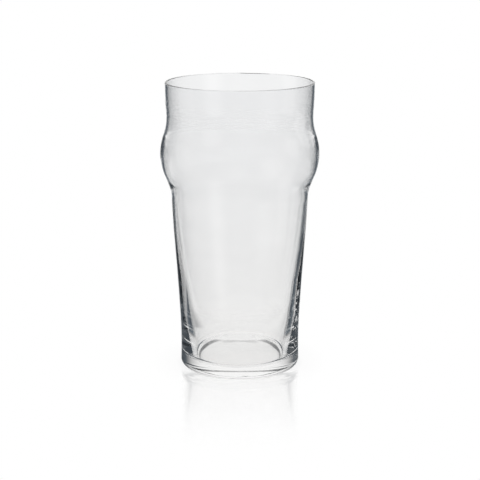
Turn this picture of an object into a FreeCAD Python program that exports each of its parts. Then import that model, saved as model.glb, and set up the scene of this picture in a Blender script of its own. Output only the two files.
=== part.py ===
# Pint glass with a bulge below the rim, in one piece of pressed soda-lime glass.
#
# Frame: millimetres, +Z up along the axis of revolution, origin at the centre of
# the resting plane. The glass rests on z = 0 and its lip is at z = overall_height.
#
# The whole shape is one closed half-section on the XZ plane, turned 360 degrees
# about Z. Every arc and line of it meets the next one tangentially. The outer
# wall is drawn from the underside up to the lip, and the inner wall from the lip
# down to the cavity floor. The wall is thick at the foot and thin at the rim.

import FreeCAD, Part
import math
import os

import Sketcher

V = FreeCAD.Vector
os.makedirs("parts", exist_ok=True)

doc = FreeCAD.newDocument("pint_glass")

# ---------------------------------------------------------------- dimensions
# alias, value (mm, degrees for the draft), meaning
DIMS = [
    ("overall_height", 159.0, "resting plane to the top of the lip"),
    ("rim_dia", 80.75, "outside diameter at the lip"),
    ("lip_round", 0.64, "radius of the fire-polished lip, half its thickness"),
    ("neck_dia", 79.54, "outside diameter at the neck between bulge and rim"),
    ("neck_height", 140.47, "height of the narrowest point of the neck"),
    ("neck_round", 27.99, "outside radius of the neck's hollow"),
    ("rim_start", 142.41, "height where the neck's hollow turns into the rim band"),
    ("bulge_dia", 86.75, "largest outside diameter, on the bulge"),
    ("bulge_height", 119.93, "height of the bulge's largest diameter"),
    ("bulge_round", 30.25, "outside radius of the bulge"),
    ("cove_start", 95.88, "height where the wall turns into the cove under the bulge"),
    ("cove_round", 23.65, "outside radius of the cove under the bulge"),
    ("wall_turn", 69.47, "height where the wall's curve changes hand"),
    ("wall_upper_round", 674.7, "outside radius of the wall above wall_turn"),
    ("wall_lower_round", 1663.8, "outside radius of the wall below wall_turn"),
    ("foot_top", 27.92, "height where the foot's flare ends"),
    ("foot_waist_dia", 66.31, "smallest outside diameter, just above the foot"),
    ("foot_waist_height", 15.0, "height of the smallest outside diameter"),
    ("foot_flare_round", 263.6, "outside radius of the foot's flare"),
    ("heel_round", 3.35, "radius of the heel between wall and underside"),
    ("inner_rim_start", 143.4, "height where the inner neck turns into the rim band"),
    ("inner_neck_dia", 77.09, "cavity diameter at the neck"),
    ("inner_neck_height", 141.0, "height of the cavity's neck"),
    ("inner_neck_round", 31.6, "radius of the cavity's neck"),
    ("inner_bulge_dia", 83.78, "largest cavity diameter, in the bulge"),
    ("inner_bulge_height", 120.46, "height of the largest cavity diameter"),
    ("inner_bulge_round", 32.8, "radius of the cavity's bulge"),
    ("inner_cove_start", 97.0, "height where the cavity wall turns towards the bulge"),
    ("inner_cove_round", 20.9, "radius of the cavity's cove under the bulge"),
    ("inner_wall_round", 545.0, "radius of the cavity wall's upper curve"),
    ("inner_taper_top", 57.5, "height where the straight cavity taper ends"),
    ("inner_taper_dia", 64.86, "cavity diameter at inner_taper_top"),
    ("inner_draft", 7.24, "angle of the straight cavity taper from the axis"),
    ("inner_corner_round", 3.5, "radius between cavity wall and cavity floor"),
    ("inner_dish_round", 150.0, "radius of the dished cavity floor"),
    ("floor_height", 3.8, "height of the cavity floor on the axis, where the base is thinnest"),
]
sheet = doc.addObject("Spreadsheet::Sheet", "dims")
for row, (alias, value, meaning) in enumerate(DIMS, start=1):
    sheet.set("A%d" % row, alias)
    sheet.set("B%d" % row, repr(value))
    sheet.set("C%d" % row, meaning)
    sheet.setAlias("B%d" % row, alias)
doc.recompute()

# ---------------------------------------------------------------------- body
body = doc.addObject("PartDesign::Body", "glass_body")
body.Label = "glass_body"
body.Placement = FreeCAD.Placement(V(0, 0, 0), FreeCAD.Rotation(0, 0, 0))
xz_plane = next(f for f in body.Origin.OriginFeatures if f.Role == "XZ_Plane")
z_axis = next(f for f in body.Origin.OriginFeatures if f.Role == "Z_Axis")

sketch = body.newObject("Sketcher::SketchObject", "half_section")
sketch.AttachmentSupport = [(xz_plane, "")]
sketch.MapMode = "FlatFace"


def arc(start, end, centre):
    """Arc of a circle between two points, the short way round its centre.
    Returns it with the numbers (1 or 2) of the arc vertices at start and end:
    a sketch arc always runs counter-clockwise from vertex 1 to vertex 2."""
    radius = math.hypot(start[0] - centre[0], start[1] - centre[1])
    a = math.atan2(start[1] - centre[1], start[0] - centre[0])
    b = math.atan2(end[1] - centre[1], end[0] - centre[0])
    turn = (b - a + math.pi) % (2 * math.pi) - math.pi
    if turn < 0:
        a, b, turn = b, a, -turn
        ends = (2, 1)
    else:
        ends = (1, 2)
    circle = Part.Circle(V(centre[0], centre[1], 0), V(0, 0, 1), radius)
    return Part.ArcOfCircle(circle, a, a + turn), ends


def line(start, end):
    return Part.LineSegment(V(start[0], start[1], 0), V(end[0], end[1], 0)), (1, 2)


# The section's elements in order, from the axis at the underside, up the outside,
# over the lip and down the inside to the axis again. Each is a name, the point it
# ends at (sketch x is the radius, sketch y the height) and its centre, or None for
# a line. The points are only a first placing: the constraints below set them.
START = (0.0, 0.0)
SECTION = [
    ("underside", (30.06, 0.0), None),
    ("heel", (33.406, 3.496), (30.059, 3.35)),
    ("flare", (33.472, 27.92), (296.755, 15.0)),
    ("wall_lower", (36.032, 69.47), (1695.272, -53.629)),
    ("wall_upper", (37.472, 95.88), (-636.819, 119.389)),
    ("cove", (39.367, 104.366), (61.107, 95.056)),
    ("bulge_under", (40.932, 108.022), None),
    ("bulge", (42.084, 128.674), (13.125, 119.93)),
    ("bulge_over", (40.965, 132.379), None),
    ("neck", (39.837, 142.41), (67.76, 140.47)),
    ("rim_band", (40.375, 158.361), (-183.389, 157.919)),
    ("lip_outer", (39.735, 159.0), (39.735, 158.36)),
    ("lip_inner", (39.095, 158.351), (39.735, 158.36)),
    ("inner_rim_band", (38.636, 143.4), (-125.877, 155.931)),
    ("inner_neck", (39.968, 131.623), (70.145, 141.0)),
    ("inner_bulge_over", (40.413, 130.193), None),
    ("inner_bulge", (38.705, 106.36), (9.09, 120.46)),
    ("inner_bulge_under", (37.993, 104.865), None),
    ("inner_cove", (35.993, 97.0), (56.863, 95.881)),
    ("inner_wall", (32.43, 57.5), (-508.225, 126.184)),
    ("inner_taper", (26.222, 8.636), None),
    ("inner_corner", (23.294, 5.620), (22.750, 9.077)),
    ("cavity_floor", (0.0, 3.8), (0.0, 153.8)),
]

geo, first, last = {}, {}, {}
point = START
for name, end, centre in SECTION:
    shape, (v1, v2) = line(point, end) if centre is None else arc(point, end, centre)
    geo[name] = sketch.addGeometry(shape, False)
    first[name], last[name] = v1, v2
    point = end
axis_line = sketch.addGeometry(line((0.0, 3.8), START)[0], False)

C = Sketcher.Constraint
ORIGIN = (-1, 1)
Y_AXIS = -2
names = [name for name, _, _ in SECTION]
for a, b in zip(names, names[1:]):
    sketch.addConstraint(C("Tangent", geo[a], last[a], geo[b], first[b]))
sketch.addConstraint(C("Coincident", geo["cavity_floor"], last["cavity_floor"], axis_line, 1))
sketch.addConstraint(C("Coincident", axis_line, 2, geo["underside"], first["underside"]))


def bind(name, constraint, expression):
    """Adds a dimension to the section and binds it to the sheet."""
    index = sketch.addConstraint(constraint)
    sketch.renameConstraint(index, name)
    sketch.setExpression("Constraints." + name, expression)


def radius_of(name, value, alias):
    bind("r_" + name, C("Radius", geo[name], value), "dims." + alias)


def x_of(tag, element, vertex, value, expression):
    bind("x_" + tag, C("DistanceX", ORIGIN[0], ORIGIN[1], geo[element], vertex, value), expression)


def z_of(tag, element, vertex, value, expression):
    bind("z_" + tag, C("DistanceY", ORIGIN[0], ORIGIN[1], geo[element], vertex, value), expression)


# underside: flat, from the axis to the heel
sketch.addConstraint(C("Coincident", geo["underside"], first["underside"], *ORIGIN))
sketch.addConstraint(C("Horizontal", geo["underside"]))

# heel and flared foot
radius_of("heel", 3.35, "heel_round")
radius_of("flare", 263.6, "foot_flare_round")
x_of("flare", "flare", 3, 296.755, "dims.foot_waist_dia / 2 + dims.foot_flare_round")
z_of("flare", "flare", 3, 15.0, "dims.foot_waist_height")

# outer wall up to the cove under the bulge
z_of("foot_top", "wall_lower", first["wall_lower"], 27.92, "dims.foot_top")
radius_of("wall_lower", 1663.8, "wall_lower_round")
z_of("wall_turn", "wall_upper", first["wall_upper"], 69.47, "dims.wall_turn")
radius_of("wall_upper", 674.7, "wall_upper_round")
z_of("cove", "cove", first["cove"], 95.88, "dims.cove_start")
radius_of("cove", 23.65, "cove_round")

# bulge and neck, with short straights tangent to both
radius_of("bulge", 30.25, "bulge_round")
x_of("bulge", "bulge", 3, 13.125, "dims.bulge_dia / 2 - dims.bulge_round")
z_of("bulge", "bulge", 3, 119.93, "dims.bulge_height")
radius_of("neck", 27.99, "neck_round")
x_of("neck", "neck", 3, 67.76, "dims.neck_dia / 2 + dims.neck_round")
z_of("neck", "neck", 3, 140.47, "dims.neck_height")

# rim band and fire-polished lip, whose top point lies on the axis of its round
z_of("rim_band", "rim_band", first["rim_band"], 142.41, "dims.rim_start")
radius_of("lip_outer", 0.64, "lip_round")
x_of("lip", "lip_outer", 3, 40.375 - 0.64, "dims.rim_dia / 2 - dims.lip_round")
z_of("lip", "lip_outer", 3, 158.36, "dims.overall_height - dims.lip_round")
radius_of("lip_inner", 0.64, "lip_round")
sketch.addConstraint(C("Vertical", geo["lip_outer"], 3, geo["lip_outer"], last["lip_outer"]))

# cavity: rim band, neck and bulge
z_of("inner_rim", "inner_neck", first["inner_neck"], 143.4, "dims.inner_rim_start")
radius_of("inner_neck", 31.6, "inner_neck_round")
x_of("inner_neck", "inner_neck", 3, 70.145, "dims.inner_neck_dia / 2 + dims.inner_neck_round")
z_of("inner_neck", "inner_neck", 3, 141.0, "dims.inner_neck_height")
radius_of("inner_bulge", 32.8, "inner_bulge_round")
x_of("inner_bulge", "inner_bulge", 3, 9.09, "dims.inner_bulge_dia / 2 - dims.inner_bulge_round")
z_of("inner_bulge", "inner_bulge", 3, 120.46, "dims.inner_bulge_height")

# cavity: cove, wall, straight taper, corner and dished floor
radius_of("inner_cove", 20.9, "inner_cove_round")
z_of("inner_cove", "inner_wall", first["inner_wall"], 97.0, "dims.inner_cove_start")
radius_of("inner_wall", 545.0, "inner_wall_round")
z_of("inner_taper", "inner_taper", first["inner_taper"], 57.5, "dims.inner_taper_top")
x_of("inner_taper", "inner_taper", first["inner_taper"], 32.43, "dims.inner_taper_dia / 2")
bind("draft", C("Angle", geo["inner_taper"], last["inner_taper"], Y_AXIS, 1, math.radians(7.24)), "dims.inner_draft * 1 deg")
radius_of("inner_corner", 3.5, "inner_corner_round")
radius_of("cavity_floor", 150.0, "inner_dish_round")
sketch.addConstraint(C("PointOnObject", geo["cavity_floor"], 3, Y_AXIS))
z_of("floor", "cavity_floor", last["cavity_floor"], 3.8, "dims.floor_height")
sketch.addConstraint(C("PointOnObject", geo["cavity_floor"], last["cavity_floor"], Y_AXIS))

doc.recompute()
freedom = sketch.solve()
print("section solver result:", freedom, "state:", sketch.State, "constraints:", sketch.ConstraintCount)

# ---------------------------------------------------------------- revolution
turned = body.newObject("PartDesign::Revolution", "turned_glass")
turned.Profile = sketch
turned.ReferenceAxis = (z_axis, [""])
turned.Angle = 360.0
body.Tip = turned
doc.recompute()

# --------------------------------------------------------------- check, write
for obj in doc.Objects:
    bad = [word for word in obj.State if word in ("Invalid", "Error")]
    if bad:
        raise RuntimeError("%s is %s" % (obj.Name, bad))
shape = body.Shape
if shape.isNull() or not shape.isValid() or len(shape.Solids) != 1:
    raise RuntimeError("the glass is not one valid solid")

# the section's vertices after solving, to see that it kept its form
for name in names:
    g = sketch.Geometry[geo[name]]
    p, q = (g.StartPoint, g.EndPoint) if first[name] == 1 else (g.EndPoint, g.StartPoint)
    print("%-18s (%.3f, %.3f) -> (%.3f, %.3f)%s" % (name, p.x, p.y, q.x, q.y, "" if not hasattr(g, "Radius") else "  r %.3f" % g.Radius))

# the cavity filled level with the top of the lip, for its capacity
inside = [sketch.Geometry[geo[name]].toShape() for name in names[names.index("lip_inner"):]]
brim = inside[0].Vertexes
top = max(v.Point.y for v in brim)
edge = max(v.Point.x for v in brim)
floor = min(v.Point.y for e in inside for v in e.Vertexes)
inside.append(Part.makeLine(V(edge, top, 0), V(0, top, 0)))
inside.append(Part.makeLine(V(0, top, 0), V(0, floor, 0)))
cavity = Part.Face(Part.Wire(Part.__sortEdges__(inside))).revolve(V(0, 0, 0), V(0, 1, 0), 360)

box = shape.optimalBoundingBox(False)
print("box %.3f x %.3f x %.3f mm, z from %.4f" % (box.XLength, box.YLength, box.ZLength, box.ZMin))
print("glass %.2f cm3, about %.0f g at 2.5 g/cm3" % (shape.Volume / 1000, shape.Volume / 1000 * 2.5))
print("brimful capacity %.1f ml" % (abs(cavity.Volume) / 1000))

shape.exportStep(os.path.join("parts", body.Label + ".step"))
print("wrote parts/%s.step" % body.Label)
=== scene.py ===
import math

import bpy
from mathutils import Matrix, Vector


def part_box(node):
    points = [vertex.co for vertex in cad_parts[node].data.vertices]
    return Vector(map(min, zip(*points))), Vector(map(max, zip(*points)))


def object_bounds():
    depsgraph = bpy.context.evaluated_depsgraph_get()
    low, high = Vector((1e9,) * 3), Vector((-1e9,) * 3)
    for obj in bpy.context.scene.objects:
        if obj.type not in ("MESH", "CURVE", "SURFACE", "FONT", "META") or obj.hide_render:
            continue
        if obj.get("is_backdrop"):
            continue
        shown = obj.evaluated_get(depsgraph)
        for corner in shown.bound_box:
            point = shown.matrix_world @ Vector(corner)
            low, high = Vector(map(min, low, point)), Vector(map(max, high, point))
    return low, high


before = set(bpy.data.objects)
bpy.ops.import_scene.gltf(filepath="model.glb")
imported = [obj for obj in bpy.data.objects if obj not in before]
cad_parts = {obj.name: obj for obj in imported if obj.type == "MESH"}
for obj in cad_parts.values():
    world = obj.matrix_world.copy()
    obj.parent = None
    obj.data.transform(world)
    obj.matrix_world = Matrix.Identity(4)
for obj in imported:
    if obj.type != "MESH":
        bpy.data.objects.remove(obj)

cad_low, cad_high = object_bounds()
scene = bpy.context.scene


# ---------------------------------------------------------------- node helpers
def shader_tree(owner):
    owner.use_nodes = True
    tree = owner.node_tree
    tree.nodes.clear()
    return tree


def math_node(tree, operation, a, b=None, c=None, clamp=False):
    node = tree.nodes.new("ShaderNodeMath")
    node.operation = operation
    node.use_clamp = clamp
    for i, v in enumerate((a, b, c)):
        if v is None:
            continue
        if isinstance(v, (int, float)):
            node.inputs[i].default_value = v
        else:
            tree.links.new(v, node.inputs[i])
    return node.outputs[0]


def ramp(tree, value, stops, low=0.0, high=1.0, smooth=False):
    """Colour ramp over value from low to high; stops are (value, grey) or (value, (r, g, b))."""
    node = tree.nodes.new("ShaderNodeValToRGB")
    node.color_ramp.interpolation = "EASE" if smooth else "LINEAR"
    elements = node.color_ramp.elements
    colour = lambda v: (v, v, v, 1.0) if isinstance(v, (int, float)) else (*v, 1.0)
    places = [min(1.0, max(0.0, (s[0] - low) / (high - low))) for s in stops]
    elements[0].position, elements[0].color = places[0], colour(stops[0][1])
    elements[1].position, elements[1].color = places[-1], colour(stops[-1][1])
    for place, stop in zip(places[1:-1], stops[1:-1]):
        element = elements.new(place)
        element.color = colour(stop[1])
    share = math_node(tree, "DIVIDE", math_node(tree, "SUBTRACT", value, low), high - low, clamp=True)
    tree.links.new(share, node.inputs[0])
    return node.outputs[0]


def mix_colour(tree, factor, a, b, blend="MIX"):
    node = tree.nodes.new("ShaderNodeMix")
    node.data_type = "RGBA"
    node.blend_type = blend
    for v, i in ((factor, 0), (a, 6), (b, 7)):
        if isinstance(v, (int, float)):
            node.inputs[i].default_value = v if i == 0 else (v, v, v, 1.0)
        elif isinstance(v, tuple):
            node.inputs[i].default_value = (*v, 1.0)
        else:
            tree.links.new(v, node.inputs[i])
    return node.outputs[2]


# ---------------------------------------------------------------- clear glass
def clear_glass():
    material = bpy.data.materials.new("clear_soda_lime_glass")
    tree = shader_tree(material)
    nodes, links = tree.nodes, tree.links
    place = nodes.new("ShaderNodeTexCoord").outputs["Object"]
    xyz = nodes.new("ShaderNodeSeparateXYZ")
    links.new(place, xyz.inputs[0])

    shader = nodes.new("ShaderNodeBsdfPrincipled")
    shader.inputs["IOR"].default_value = 1.52
    shader.inputs["Transmission Weight"].default_value = 1.0
    shader.inputs["Metallic"].default_value = 0.0

    # faint body tint: cooler in the thin rim, a touch warmer and denser in the thick foot
    height = ramp(tree, xyz.outputs[2], [(0.0, (0.993, 0.990, 0.984)), (0.02, (0.994, 0.992, 0.988)),
                                         (0.06, (0.995, 0.995, 0.994)), (0.159, (0.993, 0.996, 1.0))], 0.0, 0.159)
    cloud = nodes.new("ShaderNodeTexNoise")
    cloud.inputs["Scale"].default_value = 28.0
    cloud.inputs["Detail"].default_value = 2.0
    links.new(place, cloud.inputs["Vector"])
    tint = mix_colour(tree, 1.0, height, ramp(tree, cloud.outputs[0], [(0.3, 0.996), (0.7, 1.0)]), "MULTIPLY")
    links.new(tint, shader.inputs["Base Color"])

    # fire-polished surface: nearly perfect gloss, with a faint even grain of roughness all over
    grain = nodes.new("ShaderNodeTexNoise")
    grain.inputs["Scale"].default_value = 900.0
    grain.inputs["Detail"].default_value = 3.0
    links.new(place, grain.inputs["Vector"])
    links.new(ramp(tree, grain.outputs[0], [(0.45, 0.0), (0.75, 0.004)]), shader.inputs["Roughness"])

    # the slow waviness that blown glass has, drawn out lengthwise
    stretch = nodes.new("ShaderNodeMapping")
    stretch.inputs["Scale"].default_value = (1.0, 1.0, 0.35)
    links.new(place, stretch.inputs["Vector"])
    wave = nodes.new("ShaderNodeTexNoise")
    wave.inputs["Scale"].default_value = 55.0
    wave.inputs["Detail"].default_value = 1.0
    links.new(stretch.outputs[0], wave.inputs["Vector"])
    bump = nodes.new("ShaderNodeBump")
    bump.inputs["Strength"].default_value = 0.03
    bump.inputs["Distance"].default_value = 0.0004
    links.new(wave.outputs[0], bump.inputs["Height"])
    links.new(bump.outputs[0], shader.inputs["Normal"])

    out = nodes.new("ShaderNodeOutputMaterial")
    links.new(shader.outputs[0], out.inputs["Surface"])
    return material


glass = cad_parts["glass_body"]
glass.data.materials.clear()
glass.data.materials.append(clear_glass())


# ---------------------------------------------------------------- floor and backdrop
def sheet_of(name, corners):
    mesh = bpy.data.meshes.new(name)
    mesh.from_pydata(corners, [], [list(range(len(corners)))])
    mesh.update()
    made = bpy.data.objects.new(name, mesh)
    scene.collection.objects.link(made)
    return made


def seen_by_camera_only(o):
    o.visible_diffuse = False
    o.visible_glossy = False
    o.visible_transmission = False
    o.visible_volume_scatter = False
    o.visible_shadow = False


base_low, base_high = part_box("glass_body")
half = 2.0
floor = sheet_of("floor", [(-half, -half, base_low.z - 2e-5), (half, -half, base_low.z - 2e-5),
                           (half, half, base_low.z - 2e-5), (-half, half, base_low.z - 2e-5)])
seen_by_camera_only(floor)
floor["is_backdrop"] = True

material = bpy.data.materials.new("polished_white_acrylic_painted_shadow")
tree = shader_tree(material)
place = tree.nodes.new("ShaderNodeTexCoord").outputs["Object"]
flat = tree.nodes.new("ShaderNodeVectorMath")
flat.operation = "MULTIPLY"
flat.inputs[1].default_value = (1.0, 1.0, 0.0)
tree.links.new(place, flat.inputs[0])
away = tree.nodes.new("ShaderNodeVectorMath")
away.operation = "LENGTH"
tree.links.new(flat.outputs[0], away.inputs[0])
reach = away.outputs["Value"]
# the floor's white glow carries a painted contact shadow: greyed to 0.80 under and round the glass's foot, back to
# full white 50 mm out
white = tree.nodes.new("ShaderNodeEmission")
tree.links.new(ramp(tree, reach, [(0.0, 0.80), (0.028, 0.82), (0.031, 0.90), (0.036, 0.975), (0.050, 1.0)], 0.0, 0.1), white.inputs["Color"])
gloss = tree.nodes.new("ShaderNodeBsdfGlossy")
gloss.inputs["Roughness"].default_value = 0.03
gloss.inputs["Color"].default_value = (1, 1, 1, 1)
mixed = tree.nodes.new("ShaderNodeMixShader")
sheen = ramp(tree, reach, [(0.0, 0.36), (0.035, 0.36), (0.050, 0.32), (0.063, 0.26), (0.080, 0.15), (0.100, 0.05), (0.118, 0.0)], 0.0, 0.2)
spot = tree.nodes.new("ShaderNodeSeparateXYZ")
tree.links.new(place, spot.inputs[0])
ahead = ramp(tree, math_node(tree, "MULTIPLY", spot.outputs[1], -1.0), [(0.0, 0.0), (0.012, 0.0), (0.024, 1.0)], 0.0, 0.1)
beside = ramp(tree, math_node(tree, "ABSOLUTE", spot.outputs[0]), [(0.0, 1.0), (0.035, 1.0), (0.044, 0.0)], 0.0, 0.1)
sheen = math_node(tree, "MULTIPLY", sheen, math_node(tree, "MULTIPLY", ahead, beside))
tree.links.new(sheen, mixed.inputs[0])
tree.links.new(white.outputs[0], mixed.inputs[1])
tree.links.new(gloss.outputs[0], mixed.inputs[2])
out = tree.nodes.new("ShaderNodeOutputMaterial")
tree.links.new(mixed.outputs[0], out.inputs["Surface"])
floor.data.materials.append(material)

# the studio's light table: the glow the glass picks up from the patch of table under its foot, with a painted contact
# shadow, a dark ring painted where the foot bears on it, strongest at the back
lamp_mesh = bpy.data.meshes.new("light_table")
turns, reach_m = 64, 0.0303
lamp_mesh.from_pydata([(reach_m * math.cos(2 * math.pi * i / turns), reach_m * math.sin(2 * math.pi * i / turns),
                        base_low.z - 5e-5) for i in range(turns)], [], [list(range(turns))])
lamp_mesh.update()
lamp_table = bpy.data.objects.new("light_table", lamp_mesh)
scene.collection.objects.link(lamp_table)
lamp_table.visible_camera = False
lamp_table.visible_diffuse = False
lamp_table.visible_shadow = False
lamp_table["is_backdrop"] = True
material = bpy.data.materials.new("light_table_top")
tree = shader_tree(material)
place = tree.nodes.new("ShaderNodeTexCoord").outputs["Object"]
axes = tree.nodes.new("ShaderNodeSeparateXYZ")
tree.links.new(place, axes.inputs[0])
dark = lambda v: (v * 0.86, v * 1.0, v * 1.14)
flat = tree.nodes.new("ShaderNodeVectorMath")
flat.operation = "MULTIPLY"
flat.inputs[1].default_value = (1.0, 1.0, 0.0)
tree.links.new(place, flat.inputs[0])
away = tree.nodes.new("ShaderNodeVectorMath")
away.operation = "LENGTH"
tree.links.new(flat.outputs[0], away.inputs[0])
reach = away.outputs["Value"]
# painted contact shadow: a near-black ring painted under the rim of the foot, set up to 3 mm further out towards the
# front, thin round the sides, thicker right at the back, fading out at the front
back = math_node(tree, "DIVIDE", axes.outputs[1], math_node(tree, "MAXIMUM", reach, 1e-4))
wider = math_node(tree, "MULTIPLY", ramp(tree, back, [(-1.0, 1.0), (-0.4, 1.0), (0.0, 0.45), (0.3, 0.0)], -1.0, 1.0), 0.0030)
reach = math_node(tree, "SUBTRACT", reach, wider)
thin = ramp(tree, reach, [(0.0, 0.0), (0.0218, 0.0), (0.0230, 1.0), (0.0250, 1.0), (0.0259, 0.0)], 0.0, 0.03)
thick = ramp(tree, reach, [(0.0, 0.0), (0.0170, 0.0), (0.0190, 0.8), (0.0205, 1.0), (0.0262, 1.0), (0.0274, 0.0)], 0.0, 0.03)
painted_contact_shadow = mix_colour(tree, ramp(tree, back, [(0.80, 0.0), (0.98, 1.0)]), thin, thick)
painted_contact_shadow = math_node(tree, "MULTIPLY", painted_contact_shadow, ramp(tree, back, [(-0.60, 0.0), (-0.35, 0.75), (0.2, 1.0)], -1.0, 1.0))
speck = tree.nodes.new("ShaderNodeTexNoise")
speck.inputs["Scale"].default_value = 60.0
tree.links.new(place, speck.inputs["Vector"])
patch = ramp(tree, speck.outputs[0], [(0.35, 0.85), (0.65, 0.88)])
# the table's glow, with the painted contact shadow laid over it in near-black
glow = mix_colour(tree, painted_contact_shadow, patch, dark(0.02))
lamp = tree.nodes.new("ShaderNodeEmission")
tree.links.new(glow, lamp.inputs["Color"])
out = tree.nodes.new("ShaderNodeOutputMaterial")
tree.links.new(lamp.outputs[0], out.inputs["Surface"])
lamp_mesh.materials.append(material)

# and the lit sweep of table that runs away behind the glass, widening with distance, soft at its edges
sweep = sheet_of("light_sweep", [(-0.5, 0.03, base_low.z - 6e-5), (0.5, 0.03, base_low.z - 6e-5),
                                 (0.5, 1.0, base_low.z - 6e-5), (-0.5, 1.0, base_low.z - 6e-5)])
sweep.visible_camera = False
sweep.visible_diffuse = False
sweep.visible_shadow = False
sweep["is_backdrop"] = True
material = bpy.data.materials.new("light_sweep_top")
tree = shader_tree(material)
place = tree.nodes.new("ShaderNodeTexCoord").outputs["Object"]
axes = tree.nodes.new("ShaderNodeSeparateXYZ")
tree.links.new(place, axes.inputs[0])
width = math_node(tree, "ADD", math_node(tree, "MULTIPLY", axes.outputs[1], 0.25), 0.036)
across = math_node(tree, "DIVIDE", math_node(tree, "ABSOLUTE", axes.outputs[0]), width)
inside = ramp(tree, across, [(0.0, 1.0), (0.88, 1.0), (1.06, 0.0)], 0.0, 2.0)
inside = math_node(tree, "MULTIPLY", inside, ramp(tree, axes.outputs[1], [(0.0, 0.0), (0.055, 0.0), (0.068, 1.0), (0.8, 1.0), (1.0, 0.0)], 0.0, 1.0))
speck = tree.nodes.new("ShaderNodeTexNoise")
speck.inputs["Scale"].default_value = 12.0
tree.links.new(place, speck.inputs["Vector"])
lamp = tree.nodes.new("ShaderNodeEmission")
tree.links.new(ramp(tree, speck.outputs[0], [(0.35, 0.95), (0.65, 0.98)]), lamp.inputs["Color"])
clear = tree.nodes.new("ShaderNodeBsdfTransparent")
mixed = tree.nodes.new("ShaderNodeMixShader")
tree.links.new(inside, mixed.inputs[0])
tree.links.new(clear.outputs[0], mixed.inputs[1])
tree.links.new(lamp.outputs[0], mixed.inputs[2])
out = tree.nodes.new("ShaderNodeOutputMaterial")
tree.links.new(mixed.outputs[0], out.inputs["Surface"])
sweep.data.materials.append(material)

# softer panels further round and a second sweep of lit table, so the glass stays clear when it's seen
# from another side; they're only picked up through the glass, never as a reflection on its surface
def panel_look(name, share_of, bright):
    made = bpy.data.materials.new(name)
    tree = shader_tree(made)
    axes = tree.nodes.new("ShaderNodeSeparateXYZ")
    place = tree.nodes.new("ShaderNodeTexCoord").outputs["Object"]
    tree.links.new(place, axes.inputs[0])
    cloth = tree.nodes.new("ShaderNodeTexNoise")
    cloth.inputs["Scale"].default_value = 8.0
    tree.links.new(place, cloth.inputs["Vector"])
    lamp = tree.nodes.new("ShaderNodeEmission")
    level = bright(tree, axes.outputs) if callable(bright) else bright
    weave = ramp(tree, cloth.outputs[0], [(0.35, 0.97), (0.65, 1.0)])
    tree.links.new(math_node(tree, "MULTIPLY", weave, level), lamp.inputs["Color"])
    clear = tree.nodes.new("ShaderNodeBsdfTransparent")
    mixed = tree.nodes.new("ShaderNodeMixShader")
    tree.links.new(share_of(tree, axes.outputs), mixed.inputs[0])
    tree.links.new(clear.outputs[0], mixed.inputs[1])
    tree.links.new(lamp.outputs[0], mixed.inputs[2])
    out = tree.nodes.new("ShaderNodeOutputMaterial")
    tree.links.new(mixed.outputs[0], out.inputs["Surface"])
    return made


def through_glass_only(o):
    o.visible_camera = False
    o.visible_diffuse = False
    o.visible_glossy = False
    o.visible_shadow = False
    o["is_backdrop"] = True


def far_panel(name, centre, half_wide, soft, low_edge, high_edge, bright):
    far = 1.5
    turns = [math.radians(centre - half_wide - soft + k * (half_wide + soft) / 8) for k in range(17)]
    lifts = [math.radians(low_edge - 4), math.radians(high_edge + 4)]
    points = [(far * math.sin(t), far * math.cos(t), far * math.tan(l)) for l in lifts for t in turns]
    mesh = bpy.data.meshes.new(name)
    mesh.from_pydata(points, [], [(i, i + 1, i + 18, i + 17) for i in range(16)])
    mesh.update()
    panel = bpy.data.objects.new(name, mesh)
    scene.collection.objects.link(panel)
    through_glass_only(panel)

    def share_of(tree, axes):
        a = math.radians(centre)
        ahead = math_node(tree, "ADD", math_node(tree, "MULTIPLY", axes[0], math.sin(a)), math_node(tree, "MULTIPLY", axes[1], math.cos(a)))
        aside = math_node(tree, "SUBTRACT", math_node(tree, "MULTIPLY", axes[0], math.cos(a)), math_node(tree, "MULTIPLY", axes[1], math.sin(a)))
        off = math_node(tree, "ABSOLUTE", math_node(tree, "DEGREES", math_node(tree, "ARCTAN2", aside, ahead)))
        lift = math_node(tree, "DEGREES", math_node(tree, "ARCTAN2", axes[2], far))
        across = math_node(tree, "DIVIDE", math_node(tree, "SUBTRACT", half_wide + soft, off), soft, clamp=True)
        below = math_node(tree, "DIVIDE", math_node(tree, "SUBTRACT", lift, low_edge - 4.0), 4.0, clamp=True)
        above = math_node(tree, "DIVIDE", math_node(tree, "SUBTRACT", high_edge + 4.0, lift), 4.0, clamp=True)
        return math_node(tree, "MULTIPLY", across, math_node(tree, "MULTIPLY", below, above))

    mesh.materials.append(panel_look(name + "_cloth", share_of, bright))


far_panel("panel_left", -90, 11, 8, -13, 12, 0.45)
far_panel("panel_front", 135, 6, 17, -27, 3, 0.62)

side_sweep = sheet_of("side_sweep", [(-0.9, -0.3, base_low.z - 7e-5), (0.3, -0.3, base_low.z - 7e-5),
                                     (0.3, 0.9, base_low.z - 7e-5), (-0.9, 0.9, base_low.z - 7e-5)])
through_glass_only(side_sweep)


def side_share(tree, axes):
    along = math_node(tree, "MULTIPLY", math_node(tree, "SUBTRACT", axes[1], axes[0]), 0.70711)
    across = math_node(tree, "MULTIPLY", math_node(tree, "ADD", axes[1], axes[0]), 0.70711)
    far = math_node(tree, "MAXIMUM", math_node(tree, "SUBTRACT", along, 0.06), 0.0)
    lower = math_node(tree, "ADD", math_node(tree, "MULTIPLY", far, -0.42), -0.020)
    upper = math_node(tree, "ADD", math_node(tree, "MULTIPLY", along, 0.08), 0.036)
    inside = math_node(tree, "MULTIPLY",
                       math_node(tree, "DIVIDE", math_node(tree, "SUBTRACT", across, lower), 0.010, clamp=True),
                       math_node(tree, "DIVIDE", math_node(tree, "SUBTRACT", upper, across), 0.020, clamp=True))
    return math_node(tree, "MULTIPLY", inside, ramp(tree, along, [(0.0, 0.0), (0.032, 0.0), (0.036, 1.0), (0.6, 1.0), (0.8, 0.0)], 0.0, 1.0))


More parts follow.
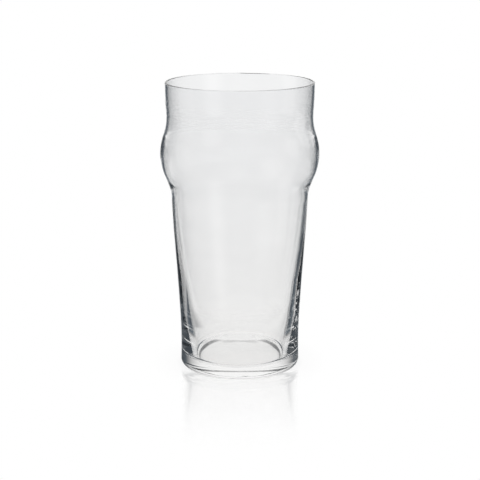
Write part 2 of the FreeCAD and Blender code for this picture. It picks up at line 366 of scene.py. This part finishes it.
def side_level(tree, axes):
    """full white beside the foot and where this sweep runs into the one behind the glass, softer beyond"""
    slant = math_node(tree, "DIVIDE", math_node(tree, "ABSOLUTE", axes[0]), math_node(tree, "MAXIMUM", axes[1], 0.001))
    joined = ramp(tree, slant, [(0.0, 1.0), (0.66, 1.0), (1.0, 0.0)], 0.0, 2.0)
    out = math_node(tree, "SQRT", math_node(tree, "ADD", math_node(tree, "MULTIPLY", axes[0], axes[0]),
                                            math_node(tree, "MULTIPLY", axes[1], axes[1])))
    beside = ramp(tree, out, [(0.0, 1.0), (0.049, 1.0), (0.054, 0.0)], 0.0, 0.1)
    white = math_node(tree, "MAXIMUM", joined, beside)
    return math_node(tree, "ADD", math_node(tree, "MULTIPLY", white, 0.38), 0.60)


side_sweep.data.materials.append(panel_look("side_sweep_top", side_share, side_level))

# a seamless white cyclorama, far behind and round the glass
cyc_mesh = bpy.data.meshes.new("backdrop")
rings, around, size = 24, 48, 1.9
verts, faces = [], []
for i in range(rings + 1):
    lift = math.radians(-60 + 150 * i / rings)
    for j in range(around):
        turn = 2 * math.pi * j / around
        verts.append((size * math.cos(lift) * math.cos(turn), size * math.cos(lift) * math.sin(turn), size * math.sin(lift)))
for i in range(rings):
    for j in range(around):
        k = (j + 1) % around
        faces.append((i * around + j, i * around + k, (i + 1) * around + k, (i + 1) * around + j))
cyc_mesh.from_pydata(verts, [], faces)
cyc_mesh.update()
backdrop = bpy.data.objects.new("backdrop", cyc_mesh)
scene.collection.objects.link(backdrop)
seen_by_camera_only(backdrop)
backdrop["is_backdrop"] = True
material = bpy.data.materials.new("white_paper")
tree = shader_tree(material)
white = tree.nodes.new("ShaderNodeEmission")
white.inputs["Color"].default_value = (1, 1, 1, 1)
out = tree.nodes.new("ShaderNodeOutputMaterial")
tree.links.new(white.outputs[0], out.inputs["Surface"])
cyc_mesh.materials.append(material)

# the part of it behind the glass again, as the white that the polished table top mirrors
top_mesh = bpy.data.meshes.new("mirrored_paper")
verts, faces = [], []
for i in range(rings + 1):
    lift = math.radians(1.0 + 88.0 * i / rings)
    for j in range(around):
        turn = math.radians(-14.0 + 28.0 * j / (around - 1))
        verts.append((1.8 * math.cos(lift) * math.sin(turn), 1.8 * math.cos(lift) * math.cos(turn), 1.8 * math.sin(lift)))
for i in range(rings):
    for j in range(around - 1):
        faces.append((i * around + j, i * around + j + 1, (i + 1) * around + j + 1, (i + 1) * around + j))
top_mesh.from_pydata(verts, [], faces)
top_mesh.update()
top_mesh.materials.append(material)
mirrored = bpy.data.objects.new("mirrored_paper", top_mesh)
scene.collection.objects.link(mirrored)
seen_by_camera_only(mirrored)
mirrored.visible_camera = False
mirrored.visible_glossy = True
mirrored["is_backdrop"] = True


# ---------------------------------------------------------------- soft studio light
# Bright-field light, as glass is lit in a studio: soft white panels face the camera's side
# through the glass, with dark gaps between them that draw the edges.
world = bpy.data.worlds.new("studio")
scene.world = world
tree = shader_tree(world)
nodes, links = tree.nodes, tree.links
way = nodes.new("ShaderNodeSeparateXYZ")
links.new(nodes.new("ShaderNodeTexCoord").outputs["Generated"], way.inputs[0])
X, Y, Z = way.outputs
turn = math_node(tree, "DEGREES", math_node(tree, "ARCTAN2", X, Y))
lift = math_node(tree, "DEGREES", math_node(tree, "ARCSINE", math_node(tree, "MULTIPLY", Z, 0.99999)))
aside = math_node(tree, "ABSOLUTE", turn)

# the panel behind the glass: narrow at eye level, wider towards the table
reach_out = ramp(tree, lift, [(-50, 0.50), (-37, 0.50), (-34, 0.24), (-27, 0.24), (-24, 0.20), (-20, 0.15), (-9, 0.13)], -90, 0)
narrow = math_node(tree, "DIVIDE", aside, math_node(tree, "MULTIPLY", reach_out, 100.0))
low = ramp(tree, narrow, [(0, 0.97), (0.9, 0.96), (1.05, 0.74), (1.2, 0.33), (1.4, dark(0.2)), (1.8, dark(0.11)),
                          (2.7, dark(0.08)), (4.0, dark(0.06)), (6.0, dark(0.08))], 0, 6)
high = ramp(tree, aside, [(0, 1.0), (20, 1.0), (30, 0.93), (37, 0.8), (45, 0.6), (52, 0.33), (60, dark(0.12)),
                          (75, dark(0.06)), (110, dark(0.06)), (180, dark(0.12))], 0, 180)
up = math_node(tree, "ADD", lift, 1.2, clamp=True)
sky = mix_colour(tree, up, low, high)
sky = mix_colour(tree, ramp(tree, lift, [(0, 0.0), (40, 0.0), (55, 0.95)], 0, 90), sky, 0.95)
light = nodes.new("ShaderNodeBackground")
links.new(sky, light.inputs["Color"])
light.inputs["Strength"].default_value = 1.0
out = nodes.new("ShaderNodeOutputWorld")
links.new(light.outputs[0], out.inputs["Surface"])

# ---------------------------------------------------------------- camera
eye = bpy.data.cameras.new("camera")
camera = bpy.data.objects.new("camera", eye)
scene.collection.objects.link(camera)
scene.camera = camera
tall = cad_high.z - cad_low.z
camera.location = (0.0001, -0.636 * tall / 0.159, 0.2365 * tall / 0.159)
camera.rotation_euler = (math.radians(90 - 14.582), 0.0, 0.0)
eye.sensor_width = 36.0
eye.lens = 88.75
eye.clip_start = 0.01
eye.clip_end = 50.0

scene.view_settings.view_transform = "Standard"
scene.view_settings.look = "None"
scene.cycles.max_bounces = 32
scene.cycles.transmission_bounces = 32
scene.cycles.glossy_bounces = 16
scene.cycles.diffuse_bounces = 4
scene.cycles.transparent_max_bounces = 16
scene.cycles.use_denoising = True

low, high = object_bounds()
